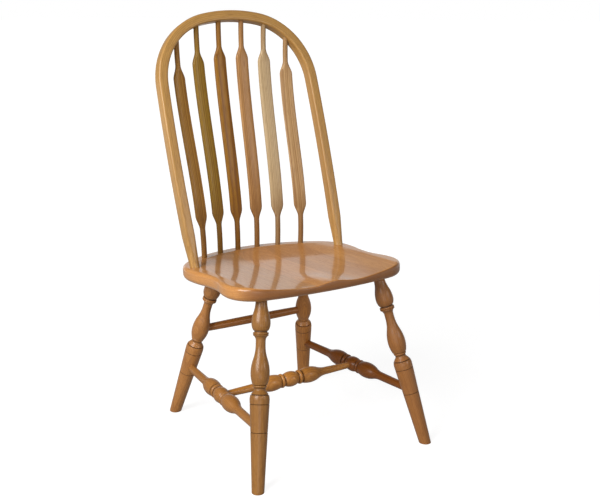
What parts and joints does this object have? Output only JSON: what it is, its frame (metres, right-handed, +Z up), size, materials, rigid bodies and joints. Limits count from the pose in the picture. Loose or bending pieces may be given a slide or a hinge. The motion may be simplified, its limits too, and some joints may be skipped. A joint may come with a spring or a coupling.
{
  "type": "windsor chair",
  "caption": "Bow-back windsor side chair with saddled plank seat, bent arrow spindles, splayed turned legs and an H stretcher plus rear stretcher.",
  "frame": {"origin": "on the floor, under the middle of the chair's bounding box", "axes": "+Z up, -Y the way the sitter faces, +X to the right as seen by someone looking at the front of the chair"},
  "size_m": [0.5096, 0.5794, 1.0363],
  "materials": {
    "seat_wood": "gloss lacquer",
    "leg_wood": "satin lacquer",
    "stretcher_wood": "satin lacquer",
    "bow_wood": "satin lacquer",
    "wedge_wood": "satin lacquer",
    "spindle_wood": "satin lacquer"
  },
  "bodies": {
    "root": {"seat_board_1": "seat_wood", "seat_board_2": "seat_wood", "seat_board_3": "seat_wood", "seat_board_4": "seat_wood", "seat_board_5": "seat_wood", "leg_front_left": "leg_wood", "leg_front_right": "leg_wood", "leg_rear_left": "leg_wood", "leg_rear_right": "leg_wood", "side_stretcher_left": "stretcher_wood", "side_stretcher_right": "stretcher_wood", "centre_stretcher": "stretcher_wood", "rear_stretcher": "stretcher_wood", "bow": "bow_wood", "bow_wedges": "wedge_wood", "spindle_1": "spindle_wood", "spindle_2": "spindle_wood", "spindle_3": "spindle_wood", "spindle_4": "spindle_wood", "spindle_5": "spindle_wood", "spindle_6": "spindle_wood"}
  },
  "joints": []
}
